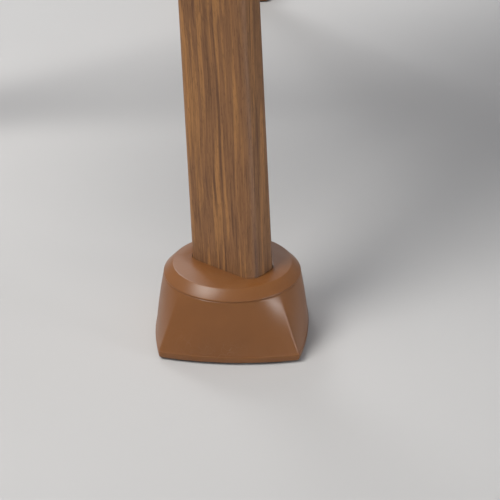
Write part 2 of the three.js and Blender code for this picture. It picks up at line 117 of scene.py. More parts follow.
def area_light(name, place, towards, size, power, colour=(1, 1, 1), spread=180):
    lamp = bpy.data.lights.new(name, "AREA")
    lamp.shape = "DISK"
    lamp.size = size
    lamp.spread = math.radians(spread)
    lamp.energy = power
    lamp.color = colour
    look = (Vector(towards) - Vector(place)).to_track_quat("-Z", "Y")
    placed(name, lamp).matrix_world = Matrix.Translation(place) @ look.to_matrix().to_4x4()


def light_studio():
    world = bpy.data.worlds.new("studio")
    bpy.context.scene.world = world
    world.use_nodes = True
    sky = world.node_tree.nodes["Background"]
    sky.inputs["Color"].default_value = (0.93, 0.95, 1.0, 1)
    sky.inputs["Strength"].default_value = 0.34
    area_light("key", (-3.24, 1.20, 4.92), (-0.3, -0.2, 0.4), 2.6, 282, (1.0, 0.97, 0.93))
    area_light("side", (0.0, -2.90, 0.50), (-0.42, -0.37, 0.12), 0.9, 0.8, spread=30)
    area_light("fill", (-3.2, -3.4, 2.0), (0, 0, 0.5), 2.5, 14)
    area_light("rim", (2.0, 4.2, 4.5), (0, 0, 0.8), 2.0, 90)
    area_light("backdrop", (2.35, 1.90, 2.0), (-0.42, -0.37, 0.07), 3.0, 13, (0.93, 0.96, 1.0))
    bpy.context.scene.view_settings.view_transform = "Standard"


# ---- modelling ----

def fresh(name, primitive, **settings):
    """Adds a primitive with nothing else selected."""
    bpy.ops.object.select_all(action="DESELECT")
    primitive(**settings)
    piece = bpy.context.object
    piece.name = name
    bpy.ops.object.transform_apply(location=True, rotation=True, scale=True)
    return piece


def only(*pieces):
    """Selects some pieces and nothing else, and makes the first one active."""
    bpy.ops.object.select_all(action="DESELECT")
    for piece in pieces:
        piece.select_set(True)
    bpy.context.view_layer.objects.active = pieces[0]


@contextmanager
def editing(piece):
    only(piece)
    bpy.ops.object.mode_set(mode="EDIT")
    yield
    bpy.ops.object.mode_set(mode="OBJECT")


def pick(piece, kind, test):
    """In edit mode, selects the vertices, edges or faces that pass the test."""
    bpy.ops.mesh.select_mode(type=kind)
    bpy.ops.mesh.select_all(action="DESELECT")
    made = bmesh.from_edit_mesh(piece.data)
    for item in {"VERT": made.verts, "EDGE": made.edges, "FACE": made.faces}[kind]:
        item.select = bool(test(item))
    made.select_flush_mode()
    bmesh.update_edit_mesh(piece.data)


def runs(axis):
    """Passes the edges that run along an axis."""
    return lambda edge: abs((edge.verts[1].co - edge.verts[0].co).normalized()[axis]) > 0.999


def lies(axis, *places):
    """Passes the vertices, edges or faces that lie wholly at one of some places along an axis."""
    def test(item):
        points = [item] if isinstance(item, bmesh.types.BMVert) else item.verts
        return any(all(abs(point.co[axis] - place) < 2e-5 for point in points) for place in places)
    return test


def faces_down(face):
    return face.normal.z < -0.99


def bevel(piece, test, width, segments=3):
    with editing(piece):
        pick(piece, "EDGE", test)
        bpy.ops.mesh.bevel(offset=width, segments=segments, affect="EDGES", clamp_overlap=True)


def cut_up(piece, test, cuts):
    """Subdivides the edges that pass the test."""
    with editing(piece):
        pick(piece, "EDGE", test)
        bpy.ops.mesh.subdivide(number_cuts=cuts)


def face_outwards(piece):
    with editing(piece):
        bpy.ops.mesh.select_all(action="SELECT")
        bpy.ops.mesh.normals_make_consistent(inside=False)


def apply(piece, kind, **settings):
    only(piece)
    modifier = piece.modifiers.new(kind, kind)
    for name, value in settings.items():
        setattr(modifier, name, value)
    bpy.ops.object.modifier_apply(modifier=kind)


def combine(piece, operation, others):
    for other in others:
        apply(piece, "BOOLEAN", operation=operation, solver="EXACT", object=other)
        bpy.data.objects.remove(other)


def carve(piece, *cutters):
    combine(piece, "DIFFERENCE", cutters)


def weld_on(piece, *others):
    combine(piece, "UNION", others)


def round_edges(piece, width, segments=2, degrees=40):
    limit = math.radians(degrees)
    apply(piece, "BEVEL", width=width, segments=segments, limit_method="ANGLE", angle_limit=limit)


def smooth(piece, degrees=35):
    only(piece)
    bpy.ops.object.shade_smooth_by_angle(angle=math.radians(degrees))


def block(name, low, high):
    low, high = Vector(low), Vector(high)
    cube = bpy.ops.mesh.primitive_cube_add
    return fresh(name, cube, size=1, location=(low + high) / 2, scale=high - low)


def rounded_bar(name, width, depth, radius, low, high, segments=8):
    """A bar along Z with rounded corners: width is along Y and depth along X."""
    piece = block(name, (-depth / 2, -width / 2, low), (depth / 2, width / 2, high))
    bevel(piece, runs(2), radius, segments)
    return piece


def make_hollow(piece, wall, axis=2):
    """Opens both ends of a bar along an axis and gives it a wall."""
    with editing(piece):
        pick(piece, "FACE", lambda face: abs(face.normal[axis]) > 0.9)
        bpy.ops.mesh.delete(type="FACE")
    apply(piece, "SOLIDIFY", thickness=wall, offset=-1)


def rod(name, radius, low, high, sides=32):
    centre = (0, 0, (low + high) / 2)
    cylinder = bpy.ops.mesh.primitive_cylinder_add
    return fresh(name, cylinder, vertices=sides, radius=radius, depth=high - low, location=centre)


def turned(name, profile, sides=48):
    """A round piece along Z, extruded upwards from a disc through (radius, height) pairs."""
    (radius, height), *rest = profile
    disc = bpy.ops.mesh.primitive_circle_add
    centre = (0, 0, height)
    piece = fresh(name, disc, vertices=sides, radius=radius, fill_type="NGON", location=centre)
    with editing(piece):
        bpy.ops.mesh.select_all(action="SELECT")
        for next_radius, next_height in rest:
            share = next_radius / radius
            rise = {"value": (0, 0, next_height - height)}
            bpy.ops.mesh.extrude_region_move(TRANSFORM_OT_translate=rise)
            bpy.ops.transform.resize(value=(share, share, 1), center_override=(0, 0, next_height))
            radius, height = next_radius, next_height
    face_outwards(piece)
    return piece


def stacked(name, sides, rings):
    """A cylinder cut into as many rings as are given, whose points go where each ring puts them."""
    piece = rod(name, 1, 0, len(rings) - 1, sides)
    cut_up(piece, runs(2), len(rings) - 2)
    for point in piece.data.vertices:
        ring = rings[round(point.co.z)]
        point.co = ring(math.atan2(point.co.y, point.co.x))
    face_outwards(piece)
    return piece


def tube_along(name, points, radius, closed=False, sides=4):
    """A round bar that follows a line of points."""
    line = bpy.data.curves.new(name, "CURVE")
    line.dimensions = "3D"
    line.bevel_depth = radius
    line.bevel_resolution = sides
    line.use_fill_caps = True
    spline = line.splines.new("POLY")
    spline.points.add(len(points) - 1)
    for place, point in zip(spline.points, points):
        place.co = (*point, 1)
    spline.use_cyclic_u = closed
    only(placed(name, line))
    bpy.ops.object.convert(target="MESH")
    smooth(bpy.context.object, 60)
    return bpy.context.object


def joined(name, pieces):
    only(*pieces)
    bpy.ops.object.join()
    pieces[0].name = name
    return pieces[0]


def turn_mesh(piece, matrix):
    piece.data.transform(matrix)
    if matrix.determinant() < 0:
        piece.data.flip_normals()
    return piece


def shifted(piece, x, y, z):
    return turn_mesh(piece, Matrix.Translation((x, y, z)))


def copy_of(piece, name, matrix):
    """A copy with its own mesh, moved by the matrix."""
    return turn_mesh(placed(name, piece.data.copy()), matrix)


def keep_own_place(piece):
    """Stores where each point lies in the piece's own axes, for patterns that follow the piece."""
    own = piece.data.attributes.new("own_place", "FLOAT_VECTOR", "POINT")
    for point, value in zip(piece.data.vertices, own.data):
        value.vector = point.co


def dress(piece, material):
    piece.data.materials.clear()
    piece.data.materials.append(material)


def to_corners(piece, place, body, material, node=None):
    """Copies a piece to the four corners, each riding on its own body and standing for its own node."""
    keep_own_place(piece)
    dress(piece, material)
    base = piece.name
    for corner, (sx, sy) in CORNERS.items():
        made = copy_of(piece, f"{base}_{corner}", Matrix.Diagonal((sx, sy, 1, 1)) @ place)
        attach(made, body.format(corner))
        if node:
            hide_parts(f"{node}_{corner}")
    bpy.data.objects.remove(piece)


def finish_piece(piece, body, material, slot, *nodes):
    dress(piece, material)
    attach(piece, body)
    if nodes:
        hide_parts(*nodes)
    return piece


# ---- materials ----

def colour(red, green, blue):
    """A colour given as screen values from 0 to 255."""
    def linear(value):
        value /= 255
        return value / 12.92 if value <= 0.04045 else ((value + 0.055) / 1.055) ** 2.4
    return (linear(red), linear(green), linear(blue), 1)


def fill(tree, made, sockets):
    """Fills a node's sockets with values or links."""
    for name, value in sockets.items():
        if isinstance(value, bpy.types.NodeSocket):
            tree.links.new(value, made.inputs[name])
        else:
            made.inputs[name].default_value = value
    return made


def node(tree, kind, sockets=None, **settings):
    made = tree.nodes.new("ShaderNode" + kind)
    for name, value in settings.items():
        setattr(made, name, value)
    return fill(tree, made, sockets or {})


def new_group(name, inputs, outputs):
    tree = bpy.data.node_groups.new(name, "ShaderNodeTree")
    for socket, kind in inputs.items():
        tree.interface.new_socket(socket, in_out="INPUT", socket_type="NodeSocket" + kind)
    for socket, kind in outputs.items():
        tree.interface.new_socket(socket, in_out="OUTPUT", socket_type="NodeSocket" + kind)
    given = tree.nodes.new("NodeGroupInput").outputs
    return tree, given, tree.nodes.new("NodeGroupOutput").inputs


def use_group(tree, group, **sockets):
    made = tree.nodes.new("ShaderNodeGroup")
    made.node_tree = group
    return fill(tree, made, sockets).outputs[0]


def math_node(tree, operation, first, second=0.0):
    return node(tree, "Math", {0: first, 1: second}, operation=operation).outputs[0]


def vector_math(tree, operation, *values):
    return node(tree, "VectorMath", dict(enumerate(values)), operation=operation).outputs[0]


def stretch(tree, factor, low, high, to_low=0.0, to_high=1.0):
    sockets = {"Value": factor, "From Min": low, "From Max": high, "To Min": to_low, "To Max": to_high}
    return node(tree, "MapRange", sockets).outputs["Result"]


def mix(tree, factor, first, second):
    made = node(tree, "Mix", {0: factor, 6: first, 7: second}, data_type="RGBA")
    return made.outputs[2]


def noise(tree, place, scale, detail=2.0, roughness=0.5):
    sockets = {"Vector": place, "Scale": scale, "Detail": detail, "Roughness": roughness}
    return node(tree, "TexNoise", sockets).outputs["Fac"]


def ramp(tree, factor, *stops):
    made = node(tree, "ValToRGB", {"Fac": factor})
    elements = made.color_ramp.elements
    while len(elements) < len(stops):
        elements.new(0.5)
    for element, (place, value) in zip(elements, stops):
        element.position = place
        element.color = value
    return made.outputs["Color"]


def object_place(tree):
    return node(tree, "TexCoord").outputs["Object"]


def own_place(tree):
    return node(tree, "Attribute", attribute_name="own_place").outputs["Vector"]


def height_of(tree, vector):
    return node(tree, "SeparateXYZ", {"Vector": vector}).outputs["Z"]


def facing_up(tree):
    return height_of(tree, node(tree, "NewGeometry").outputs["Normal"])


def scaled(tree, vector, x, y, z):
    return node(tree, "Mapping", {"Vector": vector, "Scale": (x, y, z)}).outputs["Vector"]


def uneven_group():
    """Slow clouds of lighter and darker tone, from 0 to 1."""
    tree, given, out = new_group("uneven tone", {"Vector": "Vector", "Scale": "Float"}, {"Tone": "Float"})
    cloud = noise(tree, given["Vector"], given["Scale"], 4.0, 0.6)
    tree.links.new(stretch(tree, cloud, 0.3, 0.7), out["Tone"])
    return tree


def dust_group():
    """A mask for dust, thicker on what faces up and near the floor, broken up by noise."""
    tree, given, out = new_group("settled dust", {"Amount": "Float"}, {"Mask": "Float"})
    place = object_place(tree)
    upward = math_node(tree, "MULTIPLY", stretch(tree, facing_up(tree), 0.3, 1.0), 0.6)
    low = math_node(tree, "MULTIPLY", stretch(tree, height_of(tree, place), 0.03, 0.0), 0.6)
    specks = stretch(tree, noise(tree, place, 90.0, 6.0, 0.7), 0.35, 0.75)
    broken = math_node(tree, "MULTIPLY", math_node(tree, "ADD", upward, low), specks)
    tree.links.new(math_node(tree, "MULTIPLY", broken, given["Amount"]), out["Mask"])
    return tree


def scuff_group():
    """Thin, short, faint scratches in all directions."""
    tree, given, out = new_group("light scuffs", {"Vector": "Vector", "Scale": "Float"}, {"Mask": "Float"})
    place = given["Vector"]
    warp = node(tree, "TexNoise", {"Vector": place, "Scale": 14.0}).outputs["Color"]
    bent = vector_math(tree, "MULTIPLY_ADD", place, warp, warp)
    sockets = {"Vector": bent, "Scale": given["Scale"]}
    lines = node(tree, "TexVoronoi", sockets, feature="DISTANCE_TO_EDGE").outputs["Distance"]
    patches = stretch(tree, noise(tree, place, 22.0, 3.0), 0.55, 0.75)
    tree.links.new(math_node(tree, "MULTIPLY", stretch(tree, lines, 0.02, 0.0), patches), out["Mask"])
    return tree


UNEVEN = uneven_group()
DUST = dust_group()
SCUFFS = scuff_group()
DUST_COLOUR = colour(190, 180, 165)


def clouds(tree, place, scale):
    return use_group(tree, UNEVEN, Vector=place, Scale=scale)


def new_material(name, **sockets):
    made = bpy.data.materials.new(name)
    made.use_nodes = True
    shader = made.node_tree.nodes["Principled BSDF"]
    for socket, value in sockets.items():
        shader.inputs[socket.replace("_", " ")].default_value = value
    return made, made.node_tree, shader


def connect(tree, shader, **sockets):
    for socket, value in sockets.items():
        tree.links.new(value, shader.inputs[socket.replace("_", " ")])


def bump(tree, shader, height, distance, strength=1.0):
    made = node(tree, "Bump", {"Height": height, "Distance": distance, "Strength": strength})
    connect(tree, shader, Normal=made.outputs["Normal"])


def walnut_material():
    """Straight-grained walnut: tan and brown bands, thin dark lines and short dark flecks."""
    made, tree, shader = new_material("walnut wood grain", Roughness=0.48, Specular_IOR_Level=0.26)
    place = own_place(tree)
    sway = node(tree, "TexNoise", {"Vector": scaled(tree, place, 9, 9, 5), "Scale": 1.0, "Detail": 1.0})
    swayed = vector_math(tree, "MULTIPLY", sway.outputs["Color"], (0.016, 0.016, 0.0))
    grain = vector_math(tree, "ADD", place, swayed)
    looks = ((0.03, 150.0, 2.0, 0.55), (0.02, 210.0, 3.0, 0.6), (0.06, 650.0, 3.0, 0.7), (0.16, 900.0))
    bands, lines, fibre, flecks = (
        noise(tree, scaled(tree, grain, 1, 1, along), *look) for along, *look in looks
    )
    base = ramp(
        tree,
        bands,
        (0.32, colour(106, 74, 50)),
        (0.43, colour(134, 95, 62)),
        (0.50, colour(122, 86, 58)),
        (0.57, colour(150, 107, 66)),
        (0.70, colour(162, 115, 70)),
    )
    lined = mix(tree, stretch(tree, lines, 0.56, 0.66, 0.0, 0.62), base, colour(76, 52, 42))
    fibred = mix(tree, stretch(tree, fibre, 0.45, 0.75, 0.0, 0.55), lined, colour(84, 58, 40))
    flecked = mix(tree, stretch(tree, flecks, 0.56, 0.68, 0.0, 0.35), fibred, colour(64, 44, 34))
    connect(tree, shader, Base_Color=flecked, Roughness=stretch(tree, fibre, 0.3, 0.7, 0.42, 0.56))
    bump(tree, shader, math_node(tree, "SUBTRACT", fibre, flecks), 0.0001, 0.3)
    return made


def moulded_material(name, tone, dark, roughness, grain=0.00006):
    """Satin moulded plastic with a faint texture, uneven tone, light scuffs and a little dust."""
    made, tree, shader = new_material(name, Roughness=roughness, Specular_IOR_Level=0.42)
    place = own_place(tree)
    uneven = clouds(tree, place, 16.0)
    base = mix(tree, uneven, tone, dark)
    scuffs = math_node(tree, "MULTIPLY", use_group(tree, SCUFFS, Vector=place, Scale=30.0), 0.10)
    marked = mix(tree, scuffs, base, DUST_COLOUR)
    dusty = mix(tree, use_group(tree, DUST, Amount=0.05), marked, DUST_COLOUR)
    rough = stretch(tree, uneven, 0.0, 1.0, roughness - 0.04, roughness + 0.05)
    connect(tree, shader, Base_Color=dusty, Roughness=rough)
    bump(tree, shader, noise(tree, place, 900.0, 3.0, 0.6), grain, 0.5)
    return made


def leather_material(name, tone, dark):
    """Tanned hide: pebbled grain with painted shade darkening its creases, a soft sheen and chalk rubbed
    in on top.
    """
    made, tree, shader = new_material(name, Roughness=0.5, Sheen_Weight=0.08, Sheen_Roughness=0.4)
    place = object_place(tree)
    pebbles = {"Vector": place, "Scale": 420.0}
    cells = node(tree, "TexVoronoi", pebbles, feature="F1").outputs["Distance"]
    crease = node(tree, "TexVoronoi", pebbles, feature="DISTANCE_TO_EDGE").outputs["Distance"]
    wrinkle = noise(tree, place, 60.0, 6.0, 0.65)
    uneven = clouds(tree, place, 3.5)
    mottled = mix(tree, stretch(tree, wrinkle, 0.4, 0.7, 0.0, 0.35), mix(tree, uneven, tone, dark), dark)
    # painted shade: the creases between the pebbles are darkened as if shadowed, on top of the bump's own
    # shading
    crease_shaded = mix(tree, stretch(tree, crease, 0.08, 0.0, 0.0, 0.35), mottled, dark)
    worn = stretch(tree, wrinkle, 0.45, 0.8, 0.0, 0.16)
    chalk = math_node(tree, "MULTIPLY", stretch(tree, facing_up(tree), 0.6, 1.0), worn)
    chalked = mix(tree, chalk, crease_shaded, colour(226, 214, 196))
    connect(tree, shader, Base_Color=chalked, Roughness=stretch(tree, uneven, 0.0, 1.0, 0.42, 0.56))
    height = math_node(tree, "ADD", cells, math_node(tree, "MULTIPLY", wrinkle, 1.5))
    bump(tree, shader, height, 0.0005, 0.45)
    return made


def ash_material():
    """Pale laminated ash, worn smooth, with the glue lines of its laminations."""
    made, tree, shader = new_material("laminated ash", Roughness=0.45, Coat_Weight=0.1, Coat_Roughness=0.4)
    place = own_place(tree)
    grain = noise(tree, scaled(tree, place, 1, 0.05, 0.4), 300.0, 4.0, 0.6)
    waves = {"Vector": place, "Scale": 45.0, "Distortion": 0.3, "Detail": 1.0}
    layer = node(tree, "TexWave", waves, bands_direction="X").outputs["Fac"]
    uneven = math_node(tree, "MULTIPLY", clouds(tree, place, 12.0), 0.3)
    pale, middling, light = colour(178, 134, 86), colour(208, 168, 116), colour(222, 188, 140)
    base = ramp(tree, grain, (0.3, pale), (0.5, middling), (0.7, light))
    toned = mix(tree, uneven, base, colour(176, 130, 84))
    glued = mix(tree, stretch(tree, layer, 0.06, 0.0, 0.0, 0.5), toned, colour(120, 84, 52))
    connect(tree, shader, Base_Color=glued)
    bump(tree, shader, grain, 0.0001, 0.3)
    return made


def metal_material(name, tone, roughness):
    """Bare or plated metal, with faint handling marks."""
    made, tree, shader = new_material(name, Metallic=1.0, Roughness=roughness)
    place = object_place(tree)
    uneven = clouds(tree, place, 25.0)
    scuffs = math_node(tree, "MULTIPLY", use_group(tree, SCUFFS, Vector=place, Scale=60.0), 0.2)
    darker = tuple(value * 0.8 for value in tone[:3]) + (1,)
    rough = math_node(tree, "ADD", stretch(tree, uneven, 0.0, 1.0, roughness, roughness + 0.08), scuffs)
    connect(tree, shader, Base_Color=mix(tree, uneven, tone, darker), Roughness=rough)
    bump(tree, shader, noise(tree, place, 700.0, 3.0), 0.00003, 0.4)
    return made


def powder_coat_material():
    """Black satin powder coat with its fine orange peel, and grey dust on its upward faces."""
    made, tree, shader = new_material("black powder coat", Roughness=0.42, Metallic=0.0)
    place = object_place(tree)
    uneven = clouds(tree, place, 9.0)
    base = mix(tree, uneven, colour(38, 38, 40), colour(50, 50, 52))
    dusty = mix(tree, use_group(tree, DUST, Amount=0.10), base, DUST_COLOUR)
    connect(tree, shader, Base_Color=dusty, Roughness=stretch(tree, uneven, 0.0, 1.0, 0.36, 0.48))
    bump(tree, shader, noise(tree, place, 380.0), 0.0002, 0.4)
    return made


def plywood_material():
    made, tree, shader = new_material("birch plywood", Roughness=0.65)
    grain = noise(tree, scaled(tree, object_place(tree), 0.06, 1, 1), 160.0, 4.0, 0.6)
    dark, middling, light = colour(164, 122, 78), colour(196, 156, 108), colour(210, 176, 130)
    connect(tree, shader, Base_Color=ramp(tree, grain, (0.3, dark), (0.5, middling), (0.7, light)))
    bump(tree, shader, grain, 0.0002, 0.4)
    return made


def rubber_material():
    made, tree, shader = new_material("black rubber", Roughness=0.85)
    place = object_place(tree)
    uneven = clouds(tree, place, 40.0)
    connect(tree, shader, Base_Color=mix(tree, uneven, colour(24, 24, 25), colour(42, 41, 40)))
    bump(tree, shader, noise(tree, place, 500.0, 3.0), 0.0002, 0.5)
    return made


def floor_material():
    made, tree, shader = new_material("pale floor", Roughness=0.75)
    uneven = clouds(tree, object_place(tree), 0.8)
    connect(tree, shader, Base_Color=mix(tree, uneven, (0.54, 0.54, 0.54, 1), (0.51, 0.51, 0.51, 1)))
    return made


WALNUT = walnut_material()
CARAMEL = moulded_material("caramel moulding", colour(128, 81, 41), colour(119, 74, 36), 0.34)
KNOB_BLACK = moulded_material("black moulding", colour(34, 34, 36), colour(28, 28, 30), 0.5, 0.0002)
TAN_HIDE = leather_material("tan hide", colour(166, 108, 64), colour(134, 82, 46))
WELT_HIDE = leather_material("welt hide", colour(120, 72, 40), colour(92, 54, 30))
THREAD = leather_material("waxed thread", colour(206, 178, 138), colour(170, 140, 102))
ASH = ash_material()
CHROME = metal_material("chrome plate", (0.62, 0.63, 0.65, 1), 0.12)
ZINC = metal_material("zinc plate", (0.52, 0.53, 0.55, 1), 0.34)
BRASS = metal_material("antique brass", (0.40, 0.27, 0.12, 1), 0.35)
POWDER_COAT = powder_coat_material()
PLYWOOD = plywood_material()
RUBBER = rubber_material()


# ---- feet ----

FOOT_HALF, FOOT_BOW = 0.067, 0.0085  # half the base's side, and how far its middle bows out
FOOT_SIDES, FOOT_LEVELS = 192, 30
RIM_HEIGHT, RIM_STEP = 0.0070, 0.0006
MOUTH_RADIUS = 0.0566  # the shell's opening, under the collar
COLLAR_HEIGHT, COLLAR_DEPTH = 0.010, 0.013  # above the shell, and down into it
COLLAR_EDGE, COLLAR_NECK, COLLAR_FLAT = 0.001, 0.0560, 0.0580
SLOT_GAP, SLOT_REACH = 0.0006, 0.06


def bowed_square(angle, sharpness):
    """Distance from the middle to the base's outline: four shallow arcs with rounded corners."""
    arc = (FOOT_HALF**2 + FOOT_BOW**2) / (2 * FOOT_BOW)
    back = arc - FOOT_HALF - FOOT_BOW
    total = 0
    for side in range(4):
        off = angle - side * math.pi / 2
        if math.cos(off) > 0.2:
            reach = math.sqrt(arc**2 - (back * math.sin(off)) ** 2) - back * math.cos(off)
            total += math.exp(-sharpness * reach)
    return -math.log(total) / sharpness


def at_angle(angle, radius, height):
    return Vector((radius * math.cos(angle), radius * math.sin(angle), height))


def foot_ring(height, share, inset=0.0):
    """One level of the foot: share 0 is the square base with crisp corners, and share 1 the round top."""
    sharpness = 900 + 460 * (1 - share)
    def place(angle):
        angle += 0.85 * math.sin(4 * angle) / 4  # more points at the corners than along the sides
        square = bowed_square(angle, sharpness)
        bulge = 0.0008 * 4 * share * (1 - share) * math.cos(2 * angle) ** 2
        return at_angle(angle, square + (COLLAR_RADIUS - square) * share + bulge - inset, height)
    return place


def plain_ring(height, radius):
    return lambda angle: at_angle(angle, radius, height)


def make_foot_shells():
    low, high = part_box("foot_shell_front_left")
    base, top = low.z, high.z
    rim = base + RIM_HEIGHT
    edge = [(base, 0.0030), (base + 0.0003, 0.0014), (base + 0.0012, 0.0006), (base + 0.0024, 0.0003)]
    edge += [(rim - 0.0005, 0.0), (rim - 0.0001, 0.0001), (rim, 0.0005), (rim + 0.0001, RIM_STEP)]
    rings = [foot_ring(height, 0, inset) for height, inset in edge]
    rise = top - 0.0004 - rim
    for level in range(1, FOOT_LEVELS + 1):
        share = level / FOOT_LEVELS
        rings.append(foot_ring(rim + rise * share, share, RIM_STEP * (1 - share)))
    rings += [foot_ring(top, 1, 0.0004), plain_ring(top, MOUTH_RADIUS + 0.0004)]
    rings += [plain_ring(top - 0.0004, MOUTH_RADIUS), plain_ring(top - 0.02, MOUTH_RADIUS)]
    shell = stacked("foot_shell", FOOT_SIDES, rings)
    smooth(shell, 30)
    to_corners(shell, FOOT_PLACE, "foot_{}", CARAMEL, "foot_shell")


def make_foot_collars():
    """The round collar, chamfered to its flat top, with the slot that the leg goes through."""
    part = FOOT_TOP - COLLAR_HEIGHT
    edge = part + COLLAR_EDGE
    profile = [(COLLAR_NECK, part - COLLAR_DEPTH), (COLLAR_NECK, part), (COLLAR_RADIUS, part)]
    collar = turned("foot_collar", profile + [(COLLAR_RADIUS, edge), (COLLAR_FLAT, FOOT_TOP)], 128)
    bevel(collar, lies(2, edge, FOOT_TOP), 0.0007, 3)
    outer = lies(2, part)
    bevel(collar, lambda line: outer(line) and line.verts[0].co.length > COLLAR_RADIUS, 0.0003, 2)
    turn_mesh(collar, Matrix.Translation(FOOT))
    width, depth, corner = LEG_WIDTH + 2 * SLOT_GAP, LEG_DEPTH + 2 * SLOT_GAP, LEG_CORNER + SLOT_GAP
    cutter = rounded_bar("cutter", width, depth, corner, -SLOT_REACH, SLOT_REACH, 10)
    carve(collar, turn_mesh(cutter, LEG_PLACE))
    round_edges(collar, 0.0003, 2, 50)
    smooth(collar, 40)
    turn_mesh(collar, Matrix.Translation(-FOOT))
    to_corners(collar, Matrix.Translation(FOOT), "leg_{}", CARAMEL, "foot_collar")


# ---- legs ----

LEG_WIDTH, LEG_DEPTH, LEG_CORNER = 0.080, 0.040, 0.0125
LEG_LOW, LEG_HIGH = -0.027, 0.440
UPPER_WIDTH, UPPER_DEPTH, UPPER_CORNER = 0.072, 0.032, 0.0085
UPPER_LOW = 0.265
TUBE_WALL = 0.0025
HEAD_WIDTH, HEAD_DEPTH, HEAD_CORNER = 0.098, 0.058, 0.017
HEAD_LOW, HEAD_HIGH = 0.400, 0.500
LOCK_AT = 0.470
HOLE_RADIUS, HOLE_STEP = 0.0055, 0.05
KNOB_SEAT = HEAD_WIDTH / 2 + 0.004
KNOB_RADIUS, KNOB_LOBE, KNOB_THICK = 0.022, 0.003, 0.016
PLUNGER_GAP = 0.0005  # between the locks and the upper tube
STRETCH = 1 / LEG_UP.z
FRAME_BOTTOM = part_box("cross_head_left")[0].z
LEG_LENGTH = (FRAME_BOTTOM - FOOT_TOP) * STRETCH  # from the foot's top to the cross head


def sideways(piece, at):
    """Turns a piece that stands along Z to point out through the leg's narrow side, at a height."""
    return turn_mesh(piece, Matrix.Translation((0, 0, at)) @ Matrix.Rotation(math.pi / 2, 4, "X"))


def outwards(piece, at):
    """Turns a piece that stands along Z to point out through the leg's wide outer side."""
    return turn_mesh(piece, Matrix.Translation((0, 0, at)) @ Matrix.Rotation(-math.pi / 2, 4, "Y"))


def saw_off(piece, height):
    """Cuts a piece in the leg's axes off level, at a height above the floor."""
    turn_mesh(piece, LEG_PLACE)
    carve(piece, block("saw", (-1, -1, height), (0, 0.5, height + 0.2)))
    turn_mesh(piece, LEG_PLACE.inverted())


def make_leg_tubes():
    tube = rounded_bar("leg_tube", LEG_WIDTH, LEG_DEPTH, LEG_CORNER, LEG_LOW, LEG_HIGH, 12)
    make_hollow(tube, TUBE_WALL)
    smooth(tube)
    to_corners(tube, LEG_PLACE, "leg_{}", WALNUT, "leg_tube")


def make_upper_tubes():
    top = LEG_LENGTH + 0.03
    tube = rounded_bar("upper_tube", UPPER_WIDTH, UPPER_DEPTH, UPPER_CORNER, UPPER_LOW, top, 10)
    make_hollow(tube, TUBE_WALL)
    for step in range(-2, 5):
        drill = rod("drill", HOLE_RADIUS, 0.008, 0.030, 24)
        carve(tube, outwards(drill, LOCK_AT + step * HOLE_STEP * STRETCH))
    saw_off(tube, FRAME_BOTTOM)
    smooth(tube)
    to_corners(tube, LEG_PLACE, "horse", CHROME, "upper_tube")


def make_tube_sockets():
    """The sleeve welded to the cross head round the top of each upper tube."""
    low, width, depth = LEG_LENGTH - 0.045, UPPER_WIDTH + 0.001, UPPER_DEPTH + 0.001
    sleeve = rounded_bar("tube_socket", 0.088, 0.048, 0.016, low, LEG_LENGTH + 0.02, 8)
    bevel(sleeve, lies(2, low), 0.004, 3)
    carve(sleeve, rounded_bar("cutter", width, depth, UPPER_CORNER, low - 0.015, LEG_LENGTH + 0.06, 6))
    saw_off(sleeve, FRAME_BOTTOM - 0.0005)
    smooth(sleeve)
    to_corners(sleeve, LEG_PLACE, "horse", POWDER_COAT)


def make_leg_heads():
    """The cast clamp head: a rounded block with two raised bands and two bosses."""
    width, depth, corner, sunk = HEAD_WIDTH, HEAD_DEPTH, HEAD_CORNER, 0.006
    head = rounded_bar("leg_head", width - sunk, depth - sunk, corner - sunk / 2, HEAD_LOW, HEAD_HIGH, 8)
    for low, high in ((HEAD_LOW, HEAD_LOW + 0.014), (HEAD_HIGH - 0.052, HEAD_HIGH - 0.006)):
        weld_on(head, rounded_bar("band", width, depth, corner, low, high, 8))
    weld_on(
        head,
        outwards(rod("boss", 0.0090, depth / 2 - 0.006, depth / 2 + 0.008, 40), LOCK_AT),
        sideways(rod("boss", 0.0110, width / 2 - 0.006, width / 2 + 0.003, 40), LOCK_AT),
    )
    low, high = HEAD_LOW - 0.01, HEAD_HIGH + 0.01
    leg, upper, step = (LEG_WIDTH, LEG_DEPTH), (UPPER_WIDTH, UPPER_DEPTH), LEG_HIGH
    carve(
        head,
        rounded_bar("cutter", *(size + 0.0006 for size in leg), LEG_CORNER, low, step, 10),
        rounded_bar("cutter", *(size + 0.0008 for size in upper), UPPER_CORNER, step - 0.01, high, 8),
    )
    round_edges(head, 0.0010, 2, 35)
    smooth(head, 40)
    to_corners(head, LEG_PLACE, "leg_{}", POWDER_COAT, "leg_head")


def hex_screw(radius, height, washer):
    """A hexagon head with a rounded top, on a washer. It stands on Z = 0."""
    head = rod("screw", radius, washer, washer + height, 6)
    bevel(head, lies(2, washer + height), radius * 0.12, 2)
    ring = rod("washer", radius * 1.35, 0, washer, 32)
    bevel(ring, lies(2, washer), washer * 0.3, 2)
    return joined("screw", [head, ring])


def socket_screw(radius, height):
    """A round cap screw with a six-sided socket. It stands on Z = 0."""
    head = rod("screw", radius, 0, height, 32)
    bevel(head, lies(2, height), radius * 0.15, 2)
    carve(head, rod("key", radius * 0.5, height * 0.4, height * 1.5, 6))
    return head


def make_head_screws():
    proud = 0.0032
    screws = []
    for across in (-0.026, 0.026):
        for height in (HEAD_LOW + 0.024, HEAD_HIGH - 0.068):
            screw = outwards(socket_screw(0.0042, proud), height)
            screws.append(shifted(screw, proud - HEAD_DEPTH / 2, across, 0))
    group = joined("leg_head_screws", screws)
    smooth(group)
    to_corners(group, LEG_PLACE, "leg_{}", ZINC)


